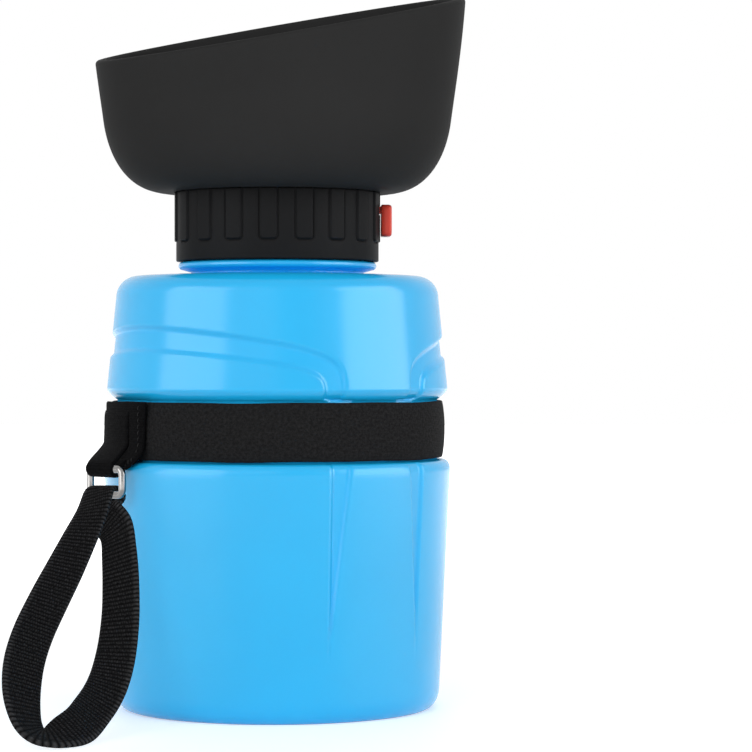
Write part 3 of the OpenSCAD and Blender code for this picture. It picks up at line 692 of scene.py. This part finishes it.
def make_cap():
    """The screw cap: its ribbed skirt and the deck across it with three ports."""
    points, faces = cap_skirt()
    for k in range(3):
        more, sides = deck_sector(PORT_FIRST + 120 * k)
        faces = np.vstack([faces, sides + len(points)])
        points = np.vstack([points, more])
    piece = put_mesh("cap", points, faces)
    piece.data.set_sharp_from_angle(angle=math.radians(50))
    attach(piece, "head")
    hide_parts("screw_cap")
    return piece


def make_lock_tab():
    """The lock tab: a block whose section goes as |cos t|^0.3 and |sin t|^0.3, flat against the
    cap and rounded off outside by shares of that section."""
    count = 48
    t = np.radians(np.linspace(0, 360, count, endpoint=False))
    y = LOCK_W / 2 * blunt(np.cos(t), 0.3)
    mid, half = sum(LOCK_Z) / 2, (LOCK_Z[1] - LOCK_Z[0]) / 2
    z = half * blunt(np.sin(t), 0.3)
    depth = LOCK_OUT - LOCK_IN
    rows = [(0, 0.94), (0.15, 1), (depth - 0.8, 1), (depth - 0.35, 0.975), (depth - 0.1, 0.93),
            (depth, 0.86), (depth, 0.6), (depth, 0.3)]
    grid = np.stack([np.stack([np.full(count, LOCK_IN + x), y * k, mid + z * k], 1)
                     for x, k in rows])
    piece = put_grid("lock_tab_grip", grid, round_cols=True, start=np.array([LOCK_IN, 0, mid]),
                     end=np.array([LOCK_OUT, 0, mid]))
    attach(piece, "lock")
    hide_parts("lock_tab")
    return piece


def rim_height(at, r):
    """The height of the slanted rim's plane at a place."""
    return RIM_Z + math.tan(math.radians(RIM_SLANT)) * r * np.cos(np.radians(at - RIM_AT))


def make_bowl():
    """The bowl: its section from the clamped hole out and up to the rim, round the rim's edge and
    down inside. Each column follows the section up to the height of the slanted rim there."""
    cols = 288
    at = np.linspace(0, 360, cols, endpoint=False)
    floor = bezier((BOWL_FLAT, BOWL_Z), (37.4, BOWL_Z), (42.1, 136.85), BOWL_BELLY, 22)
    wall = bezier(BOWL_BELLY, (44.0, 151.45), (46.6, 166.85), (47.2, 180.85), 40)
    outer = np.vstack([line((CLAMP_HOLE, BOWL_Z), (BOWL_FLAT, BOWL_Z), 4), floor, wall[1:]])
    slope = unit(np.gradient(outer, axis=0))
    inward = np.stack([-slope[:, 1], slope[:, 0]], 1)
    edge = BOWL_T / 2
    along = lengths(outer)
    rising = slice(len(floor), None)  # the part of the section whose height only grows
    stop_r = np.interp(np.full(cols, 160.0), outer[:, 1], outer[:, 0])
    for settle in range(3):
        stop_z = rim_height(at, stop_r) - edge * 0.9
        stop_r = np.interp(stop_z, outer[rising, 1], outer[rising, 0])
    stop = np.interp(stop_z, outer[rising, 1], along[rising])
    share = np.concatenate([np.linspace(0, 0.93, 52), [0.96, 0.985, 1.0]])[:, None]
    s = share * stop[None, :]
    r = np.interp(s, along, outer[:, 0])
    z = np.interp(s, along, outer[:, 1])
    nr = np.interp(s, along, inward[:, 0])
    nz = np.interp(s, along, inward[:, 1])
    bend = np.radians(np.linspace(0, 180, 11))[1:-1, None]
    top_r, top_z, tnr, tnz = r[-1], z[-1], nr[-1], nz[-1]
    rim_r = top_r + edge * tnr + edge * (-np.cos(bend) * tnr + np.sin(bend) * tnz)
    rim_z = top_z + edge * tnz + edge * (-np.cos(bend) * tnz + np.sin(bend) * -tnr)
    in_r, in_z = r + BOWL_T * nr, z + BOWL_T * nz
    grid = polar(at[None, :], np.vstack([r, rim_r, in_r[::-1]]),
                 np.vstack([z, rim_z, in_z[::-1]]))
    piece = put_grid("bowl", grid, round_rows=True, round_cols=True)
    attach(piece, "head")
    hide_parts("silicone_bowl")
    return piece


# ---------------------------------------------------------------------------
# materials
# ---------------------------------------------------------------------------

# the looped edges also carry a painted highlight, this far in
EDGE_LOOPS = 1.9  # how far in from the webbing's edges its looped yarns reach, in millimetres


def new_group(name, inputs, outputs):
    """An empty node group with named inputs, as (name, kind, value), and outputs."""
    group = bpy.data.node_groups.new(name, "ShaderNodeTree")
    for label, kind, value in inputs:
        socket = group.interface.new_socket(label, in_out="INPUT", socket_type=kind)
        if value is not None:
            socket.default_value = value
    for label, kind in outputs:
        group.interface.new_socket(label, in_out="OUTPUT", socket_type=kind)
    return group, group.nodes.new("NodeGroupInput"), group.nodes.new("NodeGroupOutput")


def math_node(nodes, links, operation, a, b=None, c=None, clamp=False):
    """A Math node with sockets or numbers as its inputs; gives its output."""
    node = nodes.new("ShaderNodeMath")
    node.operation = operation
    node.use_clamp = clamp
    for slot, value in zip(node.inputs, (a, b, c)):
        if value is None:
            continue
        if isinstance(value, (int, float)):
            slot.default_value = value
        else:
            links.new(value, slot)
    return node.outputs[0]


def noise_node(nodes, links, place, scale, detail):
    """A noise texture that reads its place from a socket; gives the node."""
    noise = nodes.new("ShaderNodeTexNoise")
    noise.inputs["Scale"].default_value = scale
    noise.inputs["Detail"].default_value = detail
    links.new(place, noise.inputs["Vector"])
    return noise


def moulded_grain_group():
    """Fine mould texture: a fine noise for height, and a broad one whose distance from its
    middle, times Vary, is added to the roughness."""
    group, given, put = new_group("moulded grain", [
        ("Position", "NodeSocketVector", None), ("Grain", "NodeSocketFloat", 900.0),
        ("Roughness", "NodeSocketFloat", 0.4), ("Vary", "NodeSocketFloat", 0.05)],
        [("Height", "NodeSocketFloat"), ("Roughness", "NodeSocketFloat"),
         ("Patch", "NodeSocketFloat")])
    nodes, links = group.nodes, group.links
    fine = noise_node(nodes, links, given.outputs["Position"], 5, 3)
    links.new(given.outputs["Grain"], fine.inputs["Scale"])
    broad = noise_node(nodes, links, given.outputs["Position"], 45, 4)
    centred = math_node(nodes, links, "SUBTRACT", broad.outputs["Fac"], 0.5)
    swing = math_node(nodes, links, "MULTIPLY", centred, given.outputs["Vary"])
    rough = math_node(nodes, links, "ADD", swing, given.outputs["Roughness"], clamp=True)
    links.new(fine.outputs["Fac"], put.inputs["Height"])
    links.new(rough, put.inputs["Roughness"])
    links.new(broad.outputs["Fac"], put.inputs["Patch"])
    return group


def ribbed_weave_group():
    """Ribbed weave on surface coordinates in millimetres: ribs lie across, one every Rib, and
    yarns stand up in turn on odd and even ribs. So the crown is |sin(rib)|^1.3 times a sine of
    the yarn, which shifts by half a turn from rib to rib. Round is the length round the section:
    at its start and its half lie the edges, where the yarns turn in small loops. The Crown output
    is painted light: a painted highlight on the crowns and on the loops, painted shade in the
    gaps between them, blended by Heather towards fine random specks."""
    group, given, put = new_group("ribbed weave", [
        ("Surface", "NodeSocketVector", None), ("Rib", "NodeSocketFloat", 0.5),
        ("Yarn", "NodeSocketFloat", 0.5), ("Fuzz", "NodeSocketFloat", 0.2),
        ("Heather", "NodeSocketFloat", 0.0), ("Round", "NodeSocketFloat", 1000.0)],
        [("Height", "NodeSocketFloat"), ("Crown", "NodeSocketFloat")])
    nodes, links = group.nodes, group.links

    def calc(operation, *values, clamp=False):
        return math_node(nodes, links, operation, *values, clamp=clamp)
    noise = noise_node(nodes, links, given.outputs["Surface"], 1.6, 4)
    split = nodes.new("ShaderNodeSeparateXYZ")
    links.new(given.outputs["Surface"], split.inputs[0])
    wander = calc("MULTIPLY_ADD", noise.outputs["Fac"], 0.3, -0.15)
    rib = calc("ADD", calc("DIVIDE", split.outputs["Y"], given.outputs["Rib"]), wander)
    yarn = calc("DIVIDE", split.outputs["X"], given.outputs["Yarn"])
    row = calc("FLOOR", rib)
    offset = calc("MULTIPLY_ADD", row, 0.5, yarn)
    over_rib = calc("ABSOLUTE", calc("SINE", calc("MULTIPLY", rib, math.pi)))
    over_rib = calc("POWER", over_rib, 1.3)
    over_yarn = calc("MULTIPLY_ADD", calc("SINE", calc("MULTIPLY", offset, 2 * math.pi)), 0.5, 0.5)
    crown = calc("MULTIPLY", over_rib, calc("MULTIPLY_ADD", over_yarn, 0.6, 0.4))
    turn = calc("DIVIDE", split.outputs["X"], given.outputs["Round"])
    edge = calc("FRACT", calc("MULTIPLY_ADD", turn, 2.0, 0.5))
    edge = calc("ABSOLUTE", calc("SUBTRACT", edge, 0.5))
    edge = calc("MULTIPLY", calc("MULTIPLY", edge, given.outputs["Round"]), 0.5)
    edge = calc("SUBTRACT", EDGE_LOOPS, edge, clamp=True)
    edge = calc("MULTIPLY", edge, over_rib)
    crown = calc("MAXIMUM", crown, edge)
    fuzz = calc("MULTIPLY", noise.outputs["Fac"], given.outputs["Fuzz"])
    links.new(calc("ADD", crown, fuzz), put.inputs["Height"])
    bright = calc("MULTIPLY_ADD", noise.outputs["Fac"], 1.8, -0.5, clamp=True)
    # painted light: a painted highlight on the yarns' crowns, painted shade where it falls to
    # nothing in the gaps
    shade = calc("MULTIPLY", crown, bright)
    # the looped edges take a painted highlight as well
    shade = calc("MAXIMUM", shade, calc("MULTIPLY", edge, calc("MULTIPLY_ADD", bright, 0.8, 0.4)))
    speck = noise_node(nodes, links, given.outputs["Surface"], 1.3, 6)
    speck.inputs["Roughness"].default_value = 0.75
    speck = calc("MULTIPLY_ADD", speck.outputs["Fac"], 4.0, -1.55, clamp=True)
    speck = calc("SUBTRACT", speck, shade)
    links.new(calc("MULTIPLY_ADD", speck, given.outputs["Heather"], shade), put.inputs["Crown"])
    return group


GRAIN = moulded_grain_group()
WEAVE = ribbed_weave_group()


def start_material(name):
    """A material with its node tree, its Principled shader and a Texture Coordinate node."""
    material = bpy.data.materials.new(name)
    material.use_nodes = True
    nodes, links = material.node_tree.nodes, material.node_tree.links
    shader = nodes["Principled BSDF"]
    where = nodes.new("ShaderNodeTexCoord")
    return material, nodes, links, shader, where


def colour_mix(nodes, links, fac, dark, light):
    """A colour between two, by a factor socket."""
    mix = nodes.new("ShaderNodeMix")
    mix.data_type = "RGBA"
    links.new(fac, mix.inputs["Factor"])
    mix.inputs[6].default_value = (*dark, 1)
    mix.inputs[7].default_value = (*light, 1)
    return mix.outputs[2]


def place_group(nodes, effect, values):
    """Puts a node group into a material with its own values."""
    group = nodes.new("ShaderNodeGroup")
    group.node_tree = effect
    for label, value in values.items():
        group.inputs[label].default_value = value
    return group


def add_relief(nodes, links, shader, height, distance):
    """Bumps the shader's normal by a height socket, with a depth in millimetres."""
    relief = nodes.new("ShaderNodeBump")
    relief.inputs["Strength"].default_value = 1
    relief.inputs["Distance"].default_value = distance * MM
    links.new(height, relief.inputs["Height"])
    links.new(relief.outputs["Normal"], shader.inputs["Normal"])


def moulded(name, dark, light, roughness, vary, grain, bump, gloss=0.5):
    """A moulded plastic or rubber: its colour goes from dark to light and its roughness drifts
    with a broad noise, and a fine noise is its grain."""
    material, nodes, links, shader, where = start_material(name)
    group = place_group(nodes, GRAIN, {"Grain": grain, "Roughness": roughness, "Vary": vary})
    links.new(where.outputs["Object"], group.inputs["Position"])
    colour = colour_mix(nodes, links, group.outputs["Patch"], dark, light)
    links.new(colour, shader.inputs["Base Color"])
    links.new(group.outputs["Roughness"], shader.inputs["Roughness"])
    add_relief(nodes, links, shader, group.outputs["Height"], bump)
    shader.inputs["Specular IOR Level"].default_value = gloss
    return material


def woven(name, dark, light, rib, yarn, depth, fuzz, heather=0.0, around=1000.0):
    """A woven material: its colour goes from dark in the gaps, painted shade, to light on the
    yarns' crowns, a painted highlight, where the roughness is 0.2 less than the gaps' 0.85."""
    material, nodes, links, shader, where = start_material(name)
    group = place_group(nodes, WEAVE, {"Rib": rib, "Yarn": yarn, "Fuzz": fuzz,
                                       "Heather": heather, "Round": around})
    links.new(where.outputs["UV"], group.inputs["Surface"])
    # dark is painted shade in the weave's gaps, light a painted highlight on its crowns
    colour = colour_mix(nodes, links, group.outputs["Crown"], dark, light)
    links.new(colour, shader.inputs["Base Color"])
    smooth = math_node(nodes, links, "MULTIPLY_ADD", group.outputs["Crown"], -0.2, 0.85)
    links.new(smooth, shader.inputs["Roughness"])
    add_relief(nodes, links, shader, group.outputs["Height"], depth)
    shader.inputs["Specular IOR Level"].default_value = 0.03
    return material


def chrome_material():
    """Polished plated wire with faint drawn scratches."""
    material, nodes, links, shader, where = start_material("plated wire")
    shader.inputs["Metallic"].default_value = 1
    noise = noise_node(nodes, links, where.outputs["Object"], 700, 4)
    colour = colour_mix(nodes, links, noise.outputs["Fac"], (0.19, 0.187, 0.185),
                        (0.31, 0.303, 0.295))
    links.new(colour, shader.inputs["Base Color"])
    links.new(math_node(nodes, links, "MULTIPLY_ADD", noise.outputs["Fac"], 0.12, 0.06),
              shader.inputs["Roughness"])
    return material


def dress(piece, material):
    """Gives a piece one material."""
    piece.data.materials.clear()
    piece.data.materials.append(material)


# ---------------------------------------------------------------------------
# stage
# ---------------------------------------------------------------------------

# name, azimuth and elevation in degrees, distance, width and height in metres, watts, and what
# the lamp is for: gloss on the sides, fill from around, or the edges of the bottle alone
LAMPS = [("left", -60, 0, 1.0, 0.9, 1.5, 11.5, "gloss"),
         ("right", 72, 0, 1.0, 1.0, 1.5, 16, "gloss"),
         ("fill_left", -20, 22, 1.4, 1.0, 0.9, 7.3, "fill"),
         ("fill_right", 52, 22, 1.4, 1.2, 0.9, 4.9, "fill"),
         ("edge_left", -112, 10, 1.3, 0.9, 1.2, 5.5, "edge"),
         ("edge_right", 122, 10, 1.3, 0.9, 1.2, 4.2, "edge"),
         ("back", 178, 30, 1.4, 1.3, 0.9, 5.0, "fill")]
LAMP_AIM = 0.1  # the height in metres that the lamps face
WORLD_LIT, WORLD_SHOWN = 0.39, 1.0
FLOOR_HALF = 3000


def seen_white(tree, lit, shown):
    """A strength socket: shown for camera, glossy and transmission rays, and lit for the rest."""
    nodes, links = tree.nodes, tree.links
    path = nodes.new("ShaderNodeLightPath")
    seen = path.outputs["Is Camera Ray"]
    for ray in ("Is Glossy Ray", "Is Transmission Ray"):
        seen = math_node(nodes, links, "MAXIMUM", seen, path.outputs[ray])
    return math_node(nodes, links, "MULTIPLY_ADD", seen, shown - lit, lit)


def make_floor():
    """A white floor that keeps a soft shadow: it shows 0.42 of white up to 0.15 m from the
    middle, and blends smoothly to all of it at 0.8 m, where it meets the white world."""
    corners = [(x * FLOOR_HALF, y * FLOOR_HALF, 0) for x, y in ((-1, -1), (1, -1), (1, 1), (-1, 1))]
    floor = put_mesh("floor", corners, [(0, 1, 2, 3)])
    material, nodes, links, shader, where = start_material("floor")
    shader.inputs["Base Color"].default_value = (0.9, 0.9, 0.9, 1)
    shader.inputs["Roughness"].default_value = 0.6
    shader.inputs["Emission Color"].default_value = (1, 1, 1, 1)
    reach = nodes.new("ShaderNodeVectorMath")
    reach.operation = "LENGTH"
    links.new(where.outputs["Object"], reach.inputs[0])
    far = nodes.new("ShaderNodeMapRange")
    far.interpolation_type = "SMOOTHSTEP"
    for label, value in (("From Min", 0.15), ("From Max", 0.8), ("To Min", 0.42), ("To Max", 1.0)):
        far.inputs[label].default_value = value
    links.new(reach.outputs["Value"], far.inputs["Value"])
    seen = seen_white(material.node_tree, 0.0, 1.0)
    links.new(math_node(nodes, links, "MULTIPLY", seen, far.outputs[0]),
              shader.inputs["Emission Strength"])
    floor.data.materials.append(material)


def make_stage(bottle):
    """A white world and floor, two tall softboxes that give the upright highlights, three fill
    lamps, and two at the sides that light the edges of the bottle alone."""
    world = bpy.data.worlds.new("studio")
    bpy.context.scene.world = world
    world.use_nodes = True
    background = world.node_tree.nodes["Background"]
    background.inputs["Color"].default_value = (1, 1, 1, 1)
    strength = seen_white(world.node_tree, WORLD_LIT, WORLD_SHOWN)
    world.node_tree.links.new(strength, background.inputs["Strength"])
    make_floor()

    bottle_only = bpy.data.collections.new("bottle_only")
    bottle_only.objects.link(bottle)
    for name, at, up, distance, width, height, power, use in LAMPS:
        light = bpy.data.lights.new(f"softbox_{name}", "AREA")
        light.shape = "RECTANGLE"
        light.size, light.size_y = width, height
        light.energy = power
        lamp = bpy.data.objects.new(f"softbox_{name}", light)
        a, e = math.radians(at), math.radians(up)
        lamp.location = (distance * math.sin(a) * math.cos(e),
                         -distance * math.cos(a) * math.cos(e),
                         LAMP_AIM + distance * math.sin(e))
        lamp.rotation_euler = (math.radians(90) - e, 0, a)
        lamp.visible_camera = False
        lamp.visible_diffuse = use != "gloss"
        lamp.visible_glossy = use == "gloss"
        if use == "edge":
            lamp.light_linking.receiver_collection = bottle_only
        bpy.context.collection.objects.link(lamp)


def make_camera():
    """The photograph's view: far off and nearly level, turned a little to the right."""
    camera = bpy.data.cameras.new("camera")
    camera.sensor_width = 36
    camera.lens = 137.7
    view = bpy.data.objects.new("camera", camera)
    view.location = (0, -0.719, 0.087)
    view.rotation_euler = (math.radians(90 - 0.36), 0, math.radians(-1.96))
    bpy.context.collection.objects.link(view)
    bpy.context.scene.camera = view


# ---------------------------------------------------------------------------
# the whole
# ---------------------------------------------------------------------------

BLUE = moulded("blue bottle", (0.010, 0.475, 0.92), (0.014, 0.515, 0.97),
               roughness=0.21, vary=0.04, grain=60, bump=0.003)
PLASTIC = moulded("black plastic", (0.015, 0.015, 0.0155), (0.019, 0.019, 0.0195),
                  roughness=0.42, vary=0.1, grain=1500, bump=0.02, gloss=0.015)
SILICONE = moulded("black silicone", (0.027, 0.027, 0.027), (0.032, 0.032, 0.032),
                   roughness=0.55, vary=0.08, grain=1800, bump=0.02, gloss=0.007)
RED = moulded("red lock", (0.8, 0.06, 0.035), (0.86, 0.075, 0.045),
              roughness=0.35, vary=0.08, grain=1200, bump=0.01, gloss=0.3)
SEAL = moulded("pale seal", (0.62, 0.63, 0.63), (0.7, 0.7, 0.7),
               roughness=0.55, vary=0.1, grain=1200, bump=0.02)
TUBE = moulded("clear tube", (0.6, 0.68, 0.74), (0.68, 0.75, 0.8),
               roughness=0.2, vary=0.05, grain=400, bump=0.01)
THREAD = moulded("black thread", (0.004, 0.004, 0.0045), (0.012, 0.012, 0.0125),
                 roughness=0.7, vary=0.1, grain=2500, bump=0.05, gloss=0.2)
# in the woven finishes the light colour is a painted highlight on the yarns' crowns and the dark
# one painted shade in the gaps
ELASTIC = woven("black elastic", (0.0085, 0.0085, 0.009), (0.0225, 0.0225, 0.023),
                rib=0.42, yarn=0.5, depth=0.04, fuzz=1.2, heather=0.8)
WEBBING = woven("black webbing", (0.0012, 0.0012, 0.0014), (0.055, 0.055, 0.057),
                rib=1.05, yarn=0.6, depth=0.3, fuzz=0.3, around=20.8)
FABRIC = woven("tab fabric", (0.0015, 0.0015, 0.0018), (0.006, 0.006, 0.0065),
               rib=0.6, yarn=0.6, depth=0.06, fuzz=0.6, heather=0.5)
CHROME = chrome_material()

scene = bpy.context.scene
scene.view_settings.view_transform = "Standard"
make_camera()

bottle = make_bottle()
make_stage(bottle)
dress(bottle, BLUE)
neck_thread = make_thread("neck_thread", "bottle", root_r=NECK_R, crest_r=22.7,
                          low=112.4, high=117.4, zero=112.4, half=0.9)
dress(neck_thread, BLUE)
cap_thread = make_thread("cap_thread", "head", root_r=SKIRT_BORE, crest_r=22.1,
                         low=112.2, high=118.0, zero=110.4, half=0.7)
dress(cap_thread, PLASTIC)
dress(make_band(), ELASTIC)
for tab_piece in make_tab():
    dress(tab_piece, FABRIC)
dress(make_stitches(), THREAD)
dress(make_ring(), CHROME)
dress(make_wrist_loop(), WEBBING)
# the photograph shows no mirror image of the loop, its ring and its tab in the bottle
for near_bottle in ("wrist_webbing", "ring_wire", "tab_fold"):
    bpy.data.objects[near_bottle].visible_glossy = False
bpy.data.objects["wrist_webbing"].visible_diffuse = False
dress(make_cap(), PLASTIC)
dress(make_lock_tab(), RED)
dress(make_bowl(), SILICONE)

FINISHES = {"neck_gasket": SEAL, "shutter_seal": SEAL, "outlet_o_ring": SEAL, "dip_tube": TUBE,
            "tube_funnel": PLASTIC, "shutter_disc": RED, "valve_cover": PLASTIC,
            "bowl_clamp_ring": PLASTIC, "outlet_grille": PLASTIC}
for node, finish in FINISHES.items():
    dress(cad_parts[node], finish)
